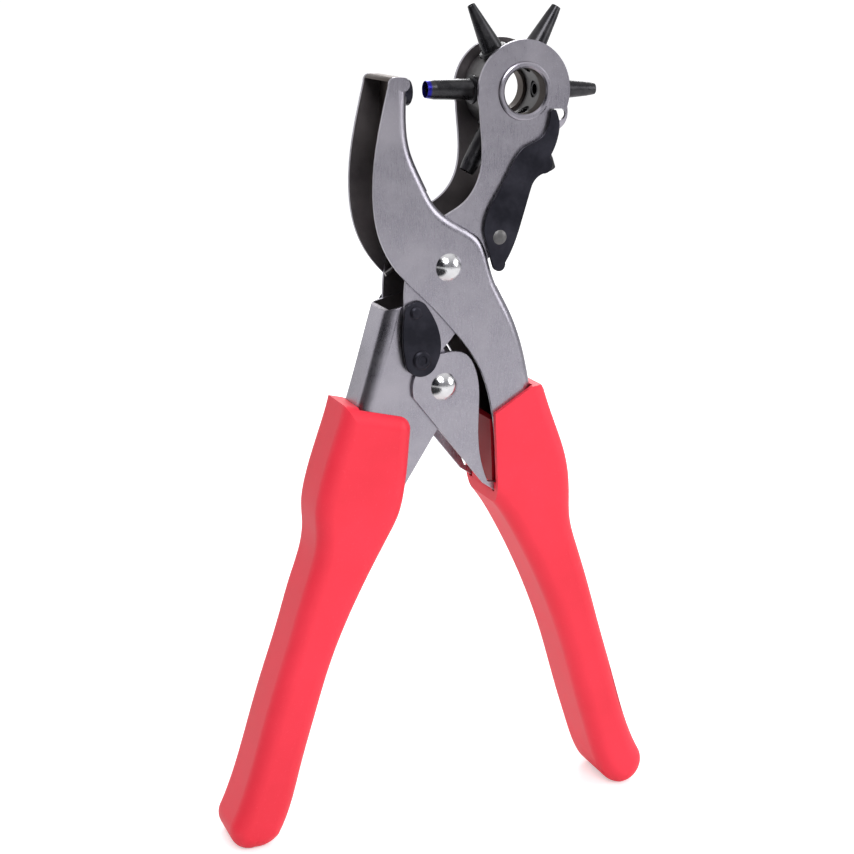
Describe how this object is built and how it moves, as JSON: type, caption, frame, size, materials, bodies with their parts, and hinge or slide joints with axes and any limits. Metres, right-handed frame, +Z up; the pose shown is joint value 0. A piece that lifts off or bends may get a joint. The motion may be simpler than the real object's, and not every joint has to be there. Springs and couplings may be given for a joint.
{
  "type": "rotary hole punch",
  "caption": "Revolving-head hole punch pliers with pressed steel jaws, a turret of tapered punch tubes, a round anvil, a catch lever, a lever linkage and soft sleeve grips.",
  "frame": {"origin": "bottom centre of the bounding box: the floor under the two handle tips, midway across the tool", "axes": "+Z up from the handle tips to the punch head, +X from the anvil side to the turret side, +Y to the back of the tool; the pivots all run along Y"},
  "size_m": [0.138, 0.0242, 0.2454],
  "materials": {
    "plated_steel": "satin nickel plate over pressed steel sheet",
    "bright_rivet": "polished nickel",
    "black_steel": "black oxide, satin",
    "tube_steel": "black oxide hardened steel",
    "drum_steel": "turned steel",
    "grip_red": "soft PVC, satin",
    "spring_steel": "bright spring wire"
  },
  "bodies": {
    "fixed_side": {"anvil_jaw": "plated_steel", "anvil": "black_steel", "pivot_strap_front": "plated_steel", "pivot_strap_back": "plated_steel", "strap_rivets": "bright_rivet", "main_rivet": "bright_rivet", "main_bush": "drum_steel", "lever_rivet": "bright_rivet", "lever_bush": "drum_steel", "right_grip": "grip_red", "opening_spring": "spring_steel"},
    "moving_handle": {"left_handle": "plated_steel", "left_grip": "grip_red", "link_low_pins": "black_steel"},
    "links": {"link_front": "black_steel", "link_back": "black_steel", "link_top_pins": "black_steel"},
    "punch_head": {"punch_arm": "plated_steel", "hub_eyelet_front": "bright_rivet", "hub_eyelet_back": "bright_rivet", "catch_pin": "drum_steel", "catch_spring": "spring_steel"},
    "turret": {"turret_drum": "drum_steel", "punch_tube_45": "tube_steel", "punch_tube_20": "tube_steel", "punch_tube_25": "tube_steel", "punch_tube_30": "tube_steel", "punch_tube_35": "tube_steel", "punch_tube_40": "tube_steel"},
    "catch": {"index_catch": "black_steel"}
  },
  "joints": [
    {"name": "left_handle", "type": "hinge", "parent": "fixed_side", "child": "moving_handle", "pos_m": [-0.0045, 0, 0.138], "axis": [0, -1, 0], "range_deg": [0, 7.4], "stiffness_Nm_per_rad": 0.5, "springref_deg": -14.32},
    {"name": "punch_arm", "type": "hinge", "parent": "fixed_side", "child": "punch_head", "pos_m": [-0.0045, 0, 0.173], "axis": [0, -1, 0], "range_deg": [0, 5.4]},
    {"name": "links", "type": "hinge", "parent": "moving_handle", "child": "links", "pos_m": [-0.0122, 0, 0.1466], "axis": [0, 1, 0], "range_deg": [0, 17]},
    {"name": "turret", "type": "hinge", "parent": "punch_head", "child": "turret", "pos_m": [0.0179, 0, 0.2217], "axis": [0, -1, 0], "continuous": true},
    {"name": "catch_lever", "type": "hinge", "parent": "punch_head", "child": "catch", "pos_m": [0.011, 0, 0.181], "axis": [0, 1, 0], "range_deg": [0, 3], "stiffness_Nm_per_rad": 0.06, "springref_deg": -17.19}
  ],
  "couplings": [
    {"joint": "punch_arm", "follows": "left_handle", "ratio": 0.716},
    {"joint": "links", "follows": "left_handle", "ratio": 2.252}
  ]
}
